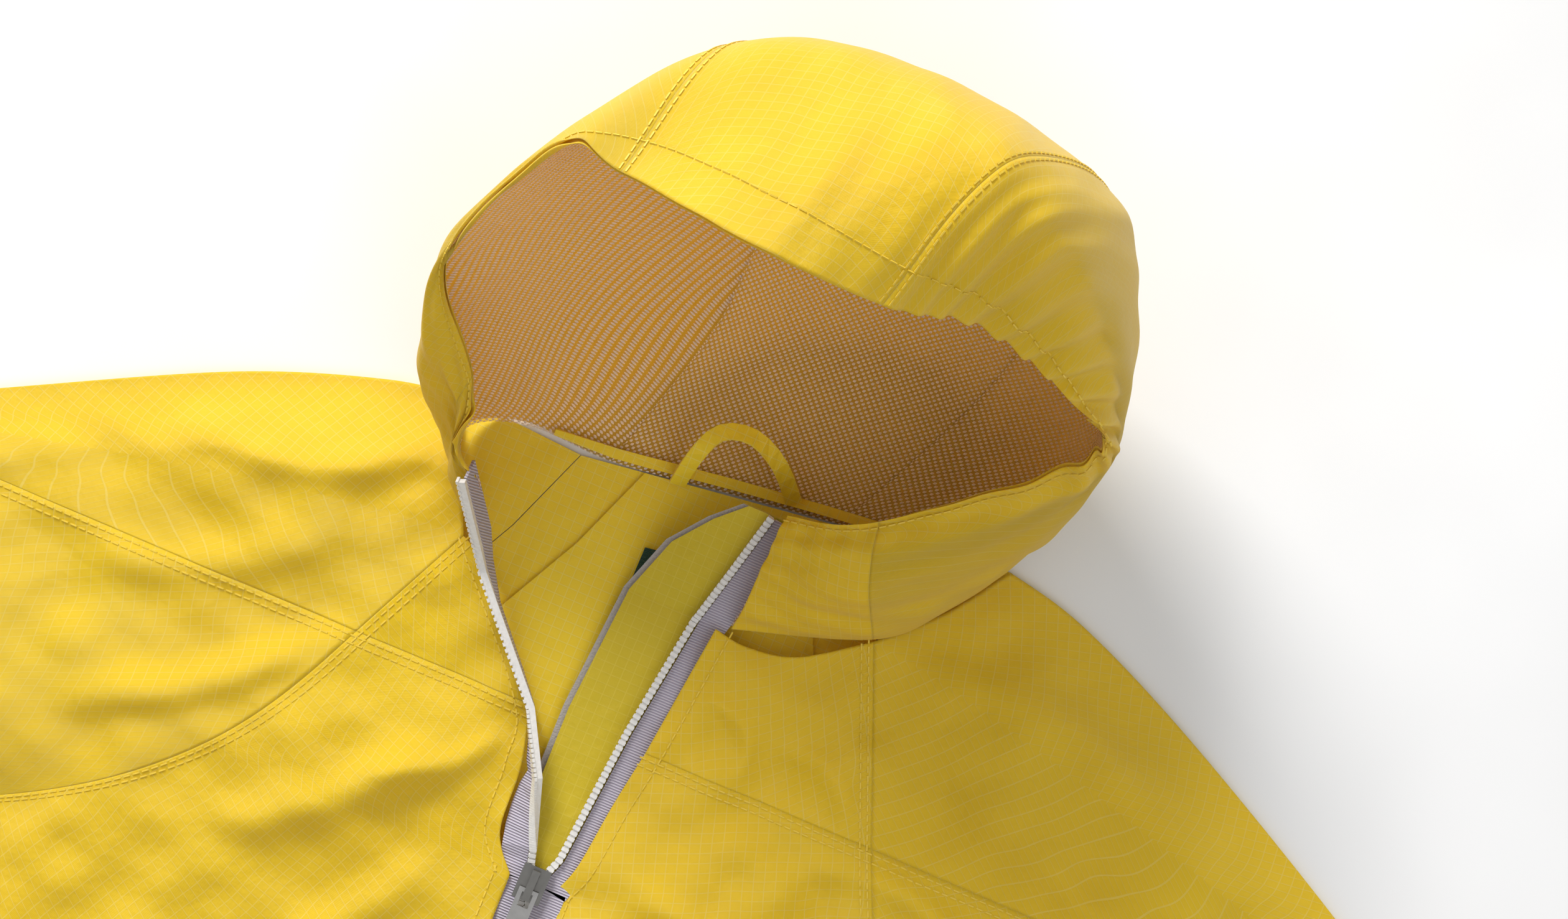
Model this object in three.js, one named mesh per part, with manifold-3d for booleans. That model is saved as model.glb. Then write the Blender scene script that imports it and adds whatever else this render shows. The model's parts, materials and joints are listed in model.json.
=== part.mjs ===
// A child's hooded rain jacket, laid on its back with the zip half open and the hood filled out.
// Units are millimetres. +Z is up, +Y runs up the garment to the hood, +X is the wearer's left.
// The origin is on the underside of the back panel, at centre back on the underarm line.
import * as THREE from 'three';
import { mergeVertices } from 'three/addons/utils/BufferGeometryUtils.js';
import Module from 'manifold-3d';

const wasm = await Module();
wasm.setup();

// ---- cloth and gaps ----
const CLOTH = 1.2;
const NET = 1.0;
const GAP = 0.3;
const SEAM_INSET = 0.17;
const LINING_INSET = 0.34;
const LINING_DROP = 0.2;

// ---- body sizes, laid flat ----
const HEM_Y = -280;
const HEM_HALF = 198;
const YOKE_Y = 99.5;
const NECK_BACK_Y = 189.4;
const NECK_BACK_SLOPE = 0.135;
const BACK_NECK_HALF = 52;
const CUFF_WIDTH = 95;

// ---- how high the front layer lies over the back ----
const EDGE_Z = 1.5;
const FRONT_RISE = 7.2;
const EDGE_FALL = 26;
const LINING_MARGIN = 22;
const LINING_HEM_MARGIN = 36;

// ---- zip ----
const TAPE_WIDTH = 12;
const TAPE_SHOWN = 7.6;
const CHAIN_WIDE = 2.2;
const CHAIN_TALL = 2.4;
const SLIDER_XY = [-10.9, 45];
const ZIP_HEM_XY = [-4, -276];

// ---- slider and pull tab, measured from the slider's base ----
const SLIDER_BASE_Z = 9.9;
const SLIDER_HALF = 4.8;
const SLIDER_PLATE = 1.4;
const BRIDGE_HALF = 1.3;
const BRIDGE_GAP = 2.2;
const BRIDGE_BAR = 1;
const PIVOT_Y = -2.4;
const PIVOT_Z = SLIDER_PLATE + BRIDGE_GAP / 2;
const TAB_HALF = 3.4;
const TAB_LONG = 24;
const TAB_THICK = 1.2;
const EYE_HALF = 1.9;
const EYE_LONG = 5.6;

// ---- small pieces ----
const LOOP_WIDTH = 5.6;
const LABEL_WIDE = 36;
const LABEL_TALL = 27.6;
const LABEL_LEAN = 0.16;

// ---- hood ----
const FACING_WIDTH = 17;
const HOOD_LIFT = CLOTH + 1.2;
const NECK_TAPE_WIDTH = 9;
const RIB_LENGTH = 300;

// The two halves of the garment. side is +1 for the wearer's left, which lies towards +X.
const HALVES = [
  {
    name: 'left', side: 1,
    neckPoint: [95.5, 202.3], raglanTop: [62, 163.4], raglanYoke: [88.5, YOKE_Y], underarm: [186, 0],
    raglanLean: 0.417, neckMiddle: [80, 181], cuffTop: [496, -2], cuffLean: [-0.469, -0.883],
    shoulder: [[124, 195.5], [168, 176.5], [232, 143]],
    zipNeck: [12.2, 147], zipYoke: [6.8, YOKE_Y], zipBend: [[3.6, 79], [0.8, 56]], neckDip: [[24, 145.4], [41, 149]],
    yokeEnd: [296, YOKE_Y], yokeTip: [296, 106],
  },
  {
    name: 'right', side: -1,
    neckPoint: [-95.5, 185], raglanTop: [-77, 142.5], raglanYoke: [-97.3, YOKE_Y], underarm: [-190, 0],
    raglanLean: 0.45, neckMiddle: [-87.5, 164], cuffTop: [-494, -10], cuffLean: [0.469, -0.883],
    shoulder: [[-121, 180.5], [-168, 163.5], [-232, 131]],
    zipNeck: [-72, 140.5], zipYoke: [-35, YOKE_Y], zipBend: [[-29.5, 79.5], [-27.5, 57]], neckDip: [[-73.5, 141], [-75.2, 141.7]],
    yokeEnd: [-282, YOKE_Y], yokeTip: [-282, 104],
  },
];

// Soft mounds that the front layer makes: x, y of the middle, reach along x and y, and rise.
const MOUNDS = [
  { place: 'neck', x: 2, y: 158, reachX: 62, reachY: 40, rise: 4.6 },
  { place: 'left shoulder', x: 132, y: 150, reachX: 40, reachY: 26, rise: 7.5 },
  { place: 'left armhole', x: 150, y: 66, reachX: 34, reachY: 24, rise: 6.5 },
  { place: 'left chest', x: 52, y: 62, reachX: 30, reachY: 24, rise: 4.5 },
  { place: 'left belly', x: 88, y: -90, reachX: 48, reachY: 70, rise: 3.5 },
  { place: 'right shoulder', x: -138, y: 140, reachX: 36, reachY: 24, rise: 7 },
  { place: 'right chest', x: -88, y: 58, reachX: 36, reachY: 30, rise: 6.5 },
  { place: 'right belly', x: -92, y: -120, reachX: 46, reachY: 62, rise: 3.5 },
  { place: 'left elbow', x: 332, y: 34, reachX: 46, reachY: 24, rise: 5 },
  { place: 'right elbow', x: -330, y: 26, reachX: 46, reachY: 24, rise: 5 },
];

// The hood is hung on ribs that run from the neck seam to the edge of the face opening.
// Each row gives the rib's foot and four stations on it, as [x, y, z] on the outer surface.
const ON_FRONT = 'front';
const RIBS = [
  { at: 'zip right', rests: ON_FRONT, foot: [-71, 141], low: [-76, 150, 24], mid: [-81, 158, 33],
    high: [-86, 166, 40], edge: [-90, 172, 45] },
  { at: 'chin right', rests: ON_FRONT, foot: [-85, 158], low: [-90, 166, 30], mid: [-93, 175, 42],
    high: [-93, 184, 52], edge: [-91, 192, 60] },
  { at: 'side right', rests: ON_FRONT, foot: [-92, 176], low: [-104, 186, 34], mid: [-111, 200, 58],
    high: [-113, 213, 82], edge: [-111, 226, 102] },
  { at: 'rear right', foot: [-74, 185.5, 0], low: [-92, 213, 34], mid: [-101, 237, 80],
    high: [-98, 256, 125], edge: [-88, 268, 150] },
  { at: 'seam right', foot: [-42, 184.6, 0], low: [-26, 252, 12], mid: [-30, 311, 75],
    high: [-54, 313, 150], edge: [-65, 266, 169] },
  { at: 'nape', foot: [0, 190, 0], low: [22, 262, 4], mid: [28, 322, 70],
    high: [-3, 326, 152], edge: [-24, 261, 186] },
  { at: 'seam left', foot: [37, 195, 0], low: [66, 260, 8], mid: [74, 320, 80],
    high: [38, 313, 168], edge: [20, 260, 168] },
  { at: 'rear left', foot: [70, 199.6, 0], low: [96, 248, 16], mid: [92, 298, 80],
    high: [70, 296, 148], edge: [48, 267, 142] },
  { at: 'side left', rests: ON_FRONT, foot: [93, 203], low: [106, 234, 28], mid: [106, 257, 62],
    high: [100, 266, 90], edge: [84, 259, 104] },
  { at: 'cheek left', rests: ON_FRONT, foot: [79.5, 181], low: [93, 205, 28], mid: [101, 226, 46],
    high: [104, 238, 59], edge: [100, 246, 71] },
  { at: 'chin left', rests: ON_FRONT, foot: [61.5, 164], low: [58, 170, 28], mid: [53, 179, 42],
    high: [49, 191, 49], edge: [47, 201, 50] },
  { at: 'zip left', rests: ON_FRONT, foot: [17, 149], low: [18, 160, 24], mid: [18, 171, 31],
    high: [18.5, 182, 35], edge: [19, 191, 37] },
];

// The hood's panels, each between two ribs, with the number of strips across it.
const HOOD_PANELS = [
  { name: 'collar_right', from: 0, to: 1, strips: 4, color: 0xe8c631 },
  { name: 'hood_side_right', from: 1, to: 4, strips: 8, color: 0xf2dd63 },
  { name: 'hood_center', from: 4, to: 6, strips: 6, color: 0xf2dd63 },
  { name: 'hood_side_left', from: 6, to: 10, strips: 12, color: 0xf2dd63 },
  { name: 'collar_left', from: 10, to: 11, strips: 3, color: 0xe8c631 },
];
const HOOD_RINGS = 10;
const FACING_RINGS = 1;

// Where each half of the zip runs: x, y, z of the line where the two halves meet when closed,
// on the tape's underside. turn is how far the tape has rolled over, in degrees: at 0 it lies flat
// and reaches out towards its own front, at 90 it stands on edge and hangs down.
const ZIP_ROUTES = {
  left: [
    { at: 'hem', x: -4, y: -276, z: 7.1, turn: 0 },
    { at: 'waist', x: -7.5, y: -115, z: 7.1, turn: 0 },
    { at: 'slider', x: SLIDER_XY[0], y: SLIDER_XY[1], z: 7.1, turn: 0 },
    { at: 'parting', x: -6.7, y: 56, z: 7.1, turn: 0 },
    { at: 'yoke', x: -2.6, y: 103.6, z: 7.6, turn: 0 },
    { at: 'neck', x: 3.5, y: 147.8, z: 10, turn: 0 },
    { at: 'collar', x: 8.5, y: 168, z: 19, turn: 0 },
    { at: 'top', x: 13.5, y: 189, z: 29, turn: 0 },
  ],
  right: [
    { at: 'hem', x: -4, y: -276, z: 7.1, turn: 0 },
    { at: 'waist', x: -7.5, y: -115, z: 7.1, turn: 0 },
    { at: 'slider', x: SLIDER_XY[0], y: SLIDER_XY[1], z: 7.1, turn: 0 },
    { at: 'throat', x: -12.6, y: 52, z: 7.1, turn: 0 },
    { at: 'parting', x: -13.8, y: 57, z: 9.2, turn: 0 },
    { at: 'bend', x: -21, y: 79.5, z: 18.5, turn: 62 },
    { at: 'yoke', x: -32.6, y: 100, z: 18.5, turn: 84 },
    { at: 'neck', x: -64.6, y: 135, z: 22, turn: 88 },
    { at: 'top', x: -81, y: 160, z: 45, turn: 88 },
  ],
};

// The underlap behind the left half of the zip. reach is how far its free edge stands out past the
// teeth, and fall is how much lower that edge lies than the teeth.
const UNDERLAP_ROWS = [
  { at: 'hem', station: 0, reach: 20, fall: 0 },
  { at: 'waist', station: 1, reach: 20, fall: 0 },
  { at: 'slider', station: 2, reach: 12, fall: 0 },
  { at: 'parting', station: 3, reach: 15, fall: 0 },
  { at: 'yoke', station: 4, reach: 20, fall: 0 },
  { at: 'neck', station: 5, reach: 23, fall: 2 },
  { at: 'collar', station: 6, reach: 21, fall: 4 },
  { at: 'bend', station: 6.6, reach: 14, fall: 3 },
  { at: 'top', station: 7, reach: 7, fall: 1.5 },
];

// ---- small maths ----
const lerp = (a, b, t) => a + (b - a) * t;
const lerpPoint = (a, b, t) => a.map((value, k) => lerp(value, b[k], t));
const ease = (t) => {
  const c = Math.min(1, Math.max(0, t));
  return c * c * (3 - 2 * c);
};

// A smooth run through rows of numbers, one whole step per row.
function throughRows(rows, x) {
  const last = rows.length - 1;
  const i = Math.min(last - 1, Math.max(0, Math.floor(x)));
  const t = x - i;
  const a = rows[Math.max(0, i - 1)];
  const b = rows[i];
  const c = rows[i + 1];
  const d = rows[Math.min(last, i + 2)];
  return b.map((value, k) => {
    const pull = (c[k] - a[k]) / 2;
    const push = (d[k] - b[k]) / 2;
    const rise = c[k] - value;
    return value + pull * t + (3 * rise - 2 * pull - push) * t * t + (pull + push - 2 * rise) * t * t * t;
  });
}

// The same, with straight runs between the rows.
function betweenRows(rows, x) {
  const i = Math.min(rows.length - 2, Math.floor(x));
  return lerpPoint(rows[i], rows[i + 1], x - i);
}

const spaced = (count, f) => Array.from({ length: count }, (_, k) => f(k / (count - 1)));
const straight = (a, b, count) => spaced(count, (t) => lerpPoint(a, b, t));
const joined = (...runs) => runs.reduce((all, run) => all.concat(all.length ? run.slice(1) : run), []);
const smoothRun = (points, count) => spaced(count, (t) => throughRows(points, t * (points.length - 1)));

// ---- solids ----
// A closed wall over a grid of cells, each with a place p and the direction n that the wall grows in.
function wall(grid, near, far) {
  const rows = grid.length;
  const cols = grid[0].length;
  const position = [];
  for (const offset of [near, far]) {
    for (const { p, n } of grid.flat()) {
      position.push(p.x + n.x * offset, p.y + n.y * offset, p.z + n.z * offset);
    }
  }
  const at = (layer, i, j) => layer * rows * cols + i * cols + j;
  const faces = [];
  const quad = (a, b, c, d) => faces.push(a, b, c, a, c, d);
  for (let i = 0; i < rows - 1; i += 1) {
    for (let j = 0; j < cols - 1; j += 1) {
      quad(at(0, i, j), at(0, i + 1, j), at(0, i + 1, j + 1), at(0, i, j + 1));
      quad(at(1, i, j), at(1, i, j + 1), at(1, i + 1, j + 1), at(1, i + 1, j));
    }
  }
  for (let j = 0; j < cols - 1; j += 1) {
    quad(at(0, 0, j), at(0, 0, j + 1), at(1, 0, j + 1), at(1, 0, j));
    quad(at(0, rows - 1, j), at(1, rows - 1, j), at(1, rows - 1, j + 1), at(0, rows - 1, j + 1));
  }
  for (let i = 0; i < rows - 1; i += 1) {
    quad(at(0, i, 0), at(1, i, 0), at(1, i + 1, 0), at(0, i + 1, 0));
    quad(at(0, i, cols - 1), at(0, i + 1, cols - 1), at(1, i + 1, cols - 1), at(1, i, cols - 1));
  }
  return faceOut(position, faces);
}

// Builds the geometry and turns every face round if the body came out inside out.
function faceOut(position, faces) {
  const point = (k) => new THREE.Vector3().fromArray(position, k * 3);
  let volume = 0;
  for (let k = 0; k < faces.length; k += 3) {
    volume += point(faces[k]).dot(point(faces[k + 1]).cross(point(faces[k + 2])));
  }
  if (volume < 0) faces.reverse();
  const geometry = new THREE.BufferGeometry();
  geometry.setAttribute('position', new THREE.Float32BufferAttribute(position, 3));
  geometry.setIndex(faces);
  return geometry;
}

// Draws the rim of a grid in by a small amount, so that neighbours keep their gap.
function drawIn(grid, amount) {
  const rows = grid.length;
  const cols = grid[0].length;
  const towards = (a, b) => ({ p: a.p.clone().add(b.p.clone().sub(a.p).setLength(amount)), n: a.n });
  const narrowed = grid.map((row) => row.map((cell, j) => {
    if (j === 0) return towards(cell, row[1]);
    if (j === cols - 1) return towards(cell, row[cols - 2]);
    return cell;
  }));
  return narrowed.map((row, i) => row.map((cell, j) => {
    if (i === 0) return towards(cell, narrowed[1][j]);
    if (i === rows - 1) return towards(cell, narrowed[rows - 2][j]);
    return cell;
  }));
}

// A panel stretched between four edges given as plan points, as a cutter draws it.
const UP = new THREE.Vector3(0, 0, 1);
function stretched(top, bottom, left, right, height) {
  const cols = top.length;
  const rows = left.length;
  return left.map((_, i) => top.map((__, j) => {
    const u = j / (cols - 1);
    const v = i / (rows - 1);
    const [x, y] = [0, 1].map((k) => lerp(top[j][k], bottom[j][k], v) + lerp(left[i][k], right[i][k], u)
      - lerp(lerp(top[0][k], top[cols - 1][k], u), lerp(bottom[0][k], bottom[cols - 1][k], u), v));
    return { p: new THREE.Vector3(x, y, height(x, y)), n: UP };
  }));
}

// ---- seams and edges in plan ----
const raglanX = (half, y) => {
  const drop = YOKE_Y - y;
  const reach = Math.abs(half.underarm[0] - half.raglanYoke[0]);
  const bend = (reach - half.raglanLean * YOKE_Y) / YOKE_Y ** 3;
  return half.raglanYoke[0] + half.side * (half.raglanLean * drop + bend * drop ** 3);
};
const neckBack = (x) => [x, NECK_BACK_Y + NECK_BACK_SLOPE * x];
const hemEnd = (half) => [half.side * HEM_HALF, HEM_Y];
const cuffBottom = (half) => half.cuffTop.map((value, k) => value + half.cuffLean[k] * CUFF_WIDTH);

function seamsOf(half) {
  const raglanUpper = straight(half.raglanTop, half.raglanYoke, 3);
  const raglanLower = spaced(6, (t) => {
    const y = lerp(YOKE_Y, 0, t);
    return [raglanX(half, y), y];
  });
  const backTop = neckBack(half.side * BACK_NECK_HALF);
  const raglanBack = spaced(7, (t) => [
    lerp(backTop[0], half.underarm[0], 0.45 * t + 0.55 * t ** 2.2),
    lerp(backTop[1], half.underarm[1], t),
  ]);
  const overarmUpper = smoothRun([half.neckPoint, ...half.shoulder, half.yokeTip], 9);
  const overarmLower = straight(half.yokeTip, half.cuffTop, 5);
  return {
    raglanUpper,
    raglanLower,
    raglanBack,
    neckSide: [half.neckPoint, half.neckMiddle, half.raglanTop],
    neckFront: smoothRun([half.zipNeck, ...half.neckDip, half.raglanTop], 5),
    overarmUpper,
    overarmLower,
    underarm: straight(half.underarm, cuffBottom(half), 13),
    sideSeam: straight(half.underarm, hemEnd(half), 6),
    yokeBody: straight(half.zipYoke, half.raglanYoke, 5),
    yokeSleeve: straight(half.raglanYoke, half.yokeEnd, 9),
  };
}
const SEAMS = Object.fromEntries(HALVES.map((half) => [half.name, seamsOf(half)]));

// The closed sides of the garment in plan, where the front layer comes down to the back.
const OUTLINE = HALVES.flatMap((half) => {
  const s = SEAMS[half.name];
  const runs = [joined(s.overarmUpper, s.overarmLower), [half.cuffTop, cuffBottom(half)], s.underarm, s.sideSeam];
  return runs.flatMap((run) => run.slice(1).map((end, k) => [run[k], end]));
});

function distanceToOutline(x, y) {
  return Math.min(...OUTLINE.map(([a, b]) => {
    const dx = b[0] - a[0];
    const dy = b[1] - a[1];
    const t = Math.min(1, Math.max(0, ((x - a[0]) * dx + (y - a[1]) * dy) / (dx * dx + dy * dy)));
    return Math.hypot(x - a[0] - dx * t, y - a[1] - dy * t);
  }));
}

// Height of the underside of the front layer over the table.
function frontHeight(x, y) {
  const swell = MOUNDS.reduce((sum, m) => {
    const away = ((x - m.x) / m.reachX) ** 2 + ((y - m.y) / m.reachY) ** 2;
    return sum + m.rise * Math.exp(-away);
  }, 0);
  return EDGE_Z + ease(distanceToOutline(x, y) / EDGE_FALL) * (FRONT_RISE + swell);
}
const onTable = () => 0;
const onBack = () => CLOTH + GAP;

// ---- the group ----
const jacket = new THREE.Group();
jacket.name = 'rain_jacket';

function addPiece(name, geometry, color, roughness = 0.6, metalness = 0) {
  const material = new THREE.MeshStandardMaterial({ color, roughness, metalness });
  const mesh = new THREE.Mesh(geometry, material);
  mesh.name = name;
  jacket.add(mesh);
}

const SHELL_COLOR = 0xdcb40c;
const addPanel = (name, grid, thickness = CLOTH, color = SHELL_COLOR) => {
  addPiece(name, wall(drawIn(grid, SEAM_INSET), 0, thickness), color);
};

// ---- back ----
function backGrid(height, margin) {
  const [left, right] = HALVES;
  const hemMargin = (margin * LINING_HEM_MARGIN) / LINING_MARGIN;
  const edge = (half) => joined(SEAMS[half.name].raglanBack, SEAMS[half.name].sideSeam).map(([x, y]) => {
    const inward = -half.side * margin;
    return [x + inward, y > HEM_Y ? y + inward * NECK_BACK_SLOPE : y + hemMargin];
  });
  const [leftEdge, rightEdge] = [edge(left), edge(right)];
  const top = straight(rightEdge[0], leftEdge[0], 7);
  const bottom = straight(rightEdge[rightEdge.length - 1], leftEdge[leftEdge.length - 1], 7);
  return stretched(top, bottom, rightEdge, leftEdge, height);
}
addPanel('back', backGrid(onTable, 0));
addPanel('lining_back', backGrid(onBack, LINING_MARGIN), NET, 0xe9bf7d);

// ---- fronts, yokes and sleeves ----
for (const half of HALVES) {
  const s = SEAMS[half.name];
  const tapeEdge = TAPE_SHOWN + GAP;
  const zipTop = [SLIDER_XY[0] + half.side * tapeEdge, SLIDER_XY[1]];
  const zipSide = [half.zipYoke, ...half.zipBend, zipTop];
  const zipLow = straight(zipTop, [ZIP_HEM_XY[0] + half.side * tapeEdge, HEM_Y], 8);

  addPanel(`yoke_${half.name}`, stretched(
    s.neckFront, s.yokeBody, straight(half.zipNeck, half.zipYoke, 3), s.raglanUpper, frontHeight,
  ));
  addPanel(`front_${half.name}`, stretched(
    s.yokeBody, straight(zipLow[7], hemEnd(half), 5), joined(zipSide, zipLow), joined(s.raglanLower, s.sideSeam),
    frontHeight,
  ));
  addPanel(`sleeve_upper_${half.name}`, stretched(
    s.overarmUpper, s.yokeSleeve, joined(s.neckSide, s.raglanUpper), straight(half.yokeTip, half.yokeEnd, 5),
    frontHeight,
  ));
  addPanel(`sleeve_lower_${half.name}`, stretched(
    joined(s.yokeSleeve, [half.yokeEnd, ...s.overarmLower.slice(1)]), s.underarm, s.raglanLower,
    straight(half.cuffTop, cuffBottom(half), 6), frontHeight,
  ));
  const backNeck = neckBack(half.side * BACK_NECK_HALF);
  addPanel(`sleeve_back_${half.name}`, stretched(
    joined(s.overarmUpper, s.overarmLower), s.underarm,
    joined(straight(half.neckPoint, backNeck, 3), s.raglanBack), straight(half.cuffTop, cuffBottom(half), 9), onTable,
  ));
}

// ---- hood ----
const STATIONS = ['low', 'mid', 'high', 'edge'];
const ribRows = RIBS.map((rib) => {
  const [x, y] = rib.foot;
  const z = rib.rests === ON_FRONT ? frontHeight(x, y) + HOOD_LIFT : rib.foot[2];
  return [x, y, z, ...STATIONS.flatMap((station) => rib[station])];
});

// A point on the hood's outer surface: s counts ribs, t runs from the foot to the edge.
// The cloth lies on the table where it would sink below it.
function hoodPoint(s, t) {
  const rib = throughRows(ribRows, s);
  const stations = [0, 1, 2, 3, 4].map((k) => rib.slice(3 * k, 3 * k + 3));
  const [x, y, z] = throughRows(stations, t * 4);
  return new THREE.Vector3(x, y, Math.max(0, z));
}

// The same point with the direction into the hood, in which its walls and linings are laid.
function hoodCell(s, t) {
  const step = 0.02;
  const last = RIBS.length - 1;
  const along = hoodPoint(Math.min(last, s + step), t).sub(hoodPoint(Math.max(0, s - step), t));
  const up = hoodPoint(s, Math.min(1, t + step)).sub(hoodPoint(s, Math.max(0, t - step)));
  return { p: hoodPoint(s, t), n: along.cross(up).normalize() };
}

// The share of a rib at which the cloth is a given distance short of the face edge.
function shareBeforeEdge(s, distance) {
  const steps = 60;
  let run = 0;
  for (let k = steps; k > 0; k -= 1) {
    run += hoodPoint(s, k / steps).distanceTo(hoodPoint(s, (k - 1) / steps));
    if (run >= distance) return (k - 1) / steps;
  }
  return 0;
}

// Shell, facing and lining share one grid: rings from the foot to the facing's inner edge, then the edge.
for (const panel of HOOD_PANELS) {
  const grid = spaced(HOOD_RINGS, (v) => v).map((v, ring, all) => spaced(panel.strips + 1, (u) => {
    const s = lerp(panel.from, panel.to, u);
    const inner = shareBeforeEdge(s, FACING_WIDTH);
    const innerRing = all[HOOD_RINGS - 1 - FACING_RINGS];
    const t = v <= innerRing ? (v / innerRing) * inner : lerp(inner, 1, (v - innerRing) / (1 - innerRing));
    return hoodCell(s, t);
  }));
  const facingRow = HOOD_RINGS - 1 - FACING_RINGS;
  const under = CLOTH + GAP;
  addPiece(panel.name, wall(drawIn(grid, SEAM_INSET), 0, CLOTH), panel.color);
  addPiece(`facing_${panel.name}`, wall(drawIn(grid.slice(facingRow), SEAM_INSET), under, under + CLOTH), 0xe4b001);
  const lining = drawIn(grid.slice(0, facingRow + 1), LINING_INSET);
  addPiece(`lining_${panel.name}`, wall(lining, under + LINING_DROP, under + LINING_DROP + NET), 0xe9bf7d);
}

// The tape over the neck seam, inside the hood.
const neckTapeGrid = spaced(4, (v) => spaced(15, (u) => {
  const s = lerp(3.4, 7.6, u);
  return hoodCell(s, lerp(0.01, NECK_TAPE_WIDTH / RIB_LENGTH, v));
}));
const netTop = CLOTH + GAP + LINING_DROP + NET;
addPiece('neck_tape', wall(neckTapeGrid, netTop + GAP, netTop + GAP + NET), 0xd9b48c);

// ---- zip ----
// A station on a zip half: its place, the way the tape reaches out and the way its face looks.
function zipStation(name, x) {
  const rows = ZIP_ROUTES[name].map((row) => [row.x, row.y, row.z, row.turn]);
  const last = rows.length - 1;
  const [px, py, pz, turn] = betweenRows(rows, Math.min(last, x));
  const ahead = betweenRows(rows, Math.min(last, x + 0.05));
  const behind = betweenRows(rows, Math.max(0, x - 0.05));
  const run = new THREE.Vector3(ahead[0] - behind[0], ahead[1] - behind[1], ahead[2] - behind[2]).normalize();
  const outward = new THREE.Vector3(name === 'left' ? 1 : -1, 0, 0);
  outward.addScaledVector(run, -outward.dot(run)).normalize();
  const spin = (name === 'left' ? 1 : -1) * THREE.MathUtils.degToRad(turn);
  const across = outward.applyAxisAngle(run, spin);
  const face = run.clone().cross(across).normalize();
  if (name === 'left') face.negate();
  return { p: new THREE.Vector3(px, py, pz), across, face };
}

function ribbon(name, stations, reaches, lift) {
  return stations.map((x) => {
    const { p, across, face } = zipStation(name, x);
    return reaches.map((reach) => ({
      p: p.clone().addScaledVector(across, reach).addScaledVector(face, lift), n: face,
    }));
  });
}

for (const { name } of HALVES) {
  const last = ZIP_ROUTES[name].length - 1;
  const stations = spaced(4 * last + 1, (t) => t * last);
  const tapeFrom = CHAIN_WIDE + 2 * SEAM_INSET + GAP;
  addPiece(`zip_tape_${name}`, wall(ribbon(name, stations, [tapeFrom, TAPE_WIDTH], 0), 0, NET), 0xb9b2bd);
  addPiece(`zip_chain_${name}`, wall(ribbon(name, stations, [GAP, CHAIN_WIDE], 0), 0, CHAIN_TALL), 0xf2efe9, 0.4);
}

// The underlap and its fleece backing hang from the left half, behind the teeth.
function underlapGrid(spare, sewn, depth) {
  const rows = UNDERLAP_ROWS.map((row) => [row.station, row.reach, row.fall]);
  return spaced(25, (t) => {
    const [station, reach, fall] = betweenRows(rows, t * (rows.length - 1));
    const { p } = zipStation('left', station);
    return [-(reach + spare), -reach / 2, 0, sewn].map((x) => ({
      p: new THREE.Vector3(p.x + x, p.y, p.z - depth + fall * Math.min(0, x / reach)), n: UP,
    }));
  });
}
addPiece('underlap', wall(underlapGrid(0, 7, 1.8), 0, CLOTH), 0xd8b612);
addPiece('underlap_backing', wall(underlapGrid(2, 3, 3.3), 0, CLOTH), 0xb9b3ad, 0.95);

// ---- slider and pull tab ----
const slider = new THREE.Group();
slider.position.set(SLIDER_XY[0], SLIDER_XY[1], SLIDER_BASE_Z);
jacket.add(slider);

function addHardPiece(name, geometry, color) {
  const mesh = new THREE.Mesh(geometry, new THREE.MeshStandardMaterial({ color, roughness: 0.35, metalness: 0.9 }));
  mesh.name = name;
  slider.add(mesh);
}

// Joins closed boxes, each given by its lowest and highest corner, less the boxes cut away.
function boxWork(added, cut) {
  const solid = ([low, high]) => {
    const size = high.map((value, k) => value - low[k]);
    const box = new THREE.BoxGeometry(...size);
    box.translate(...low.map((value, k) => value + size[k] / 2));
    box.deleteAttribute('normal');
    box.deleteAttribute('uv');
    const merged = mergeVertices(box);
    return new wasm.Manifold(new wasm.Mesh({
      numProp: 3, vertProperties: merged.attributes.position.array, triVerts: new Uint32Array(merged.index.array),
    }));
  };
  const body = cut.map(solid).reduce((whole, piece) => whole.subtract(piece), added.map(solid)
    .reduce((whole, piece) => whole.add(piece)));
  const mesh = body.getMesh();
  const geometry = new THREE.BufferGeometry();
  geometry.setAttribute('position', new THREE.BufferAttribute(mesh.vertProperties, 3));
  geometry.setIndex(new THREE.BufferAttribute(mesh.triVerts, 1));
  return geometry;
}

const bridgeTop = SLIDER_PLATE + BRIDGE_GAP + BRIDGE_BAR;
addHardPiece('zip_slider', boxWork(
  [
    [[-SLIDER_HALF, -6, 0], [SLIDER_HALF, 6, SLIDER_PLATE]],
    [[-BRIDGE_HALF, -5, 0.5], [BRIDGE_HALF, 5, bridgeTop]],
  ],
  [[[-9, -3.6, SLIDER_PLATE], [9, 3.6, SLIDER_PLATE + BRIDGE_GAP]]],
), 0x6f7276);
addHardPiece('pull_tab', boxWork(
  [[[-TAB_HALF, PIVOT_Y - TAB_LONG, PIVOT_Z - TAB_THICK / 2], [TAB_HALF, PIVOT_Y + 0.7, PIVOT_Z + TAB_THICK / 2]]],
  [[[-EYE_HALF, PIVOT_Y - EYE_LONG, -1], [EYE_HALF, PIVOT_Y - 0.7, 9]]],
), 0xc9c9c6);

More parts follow.
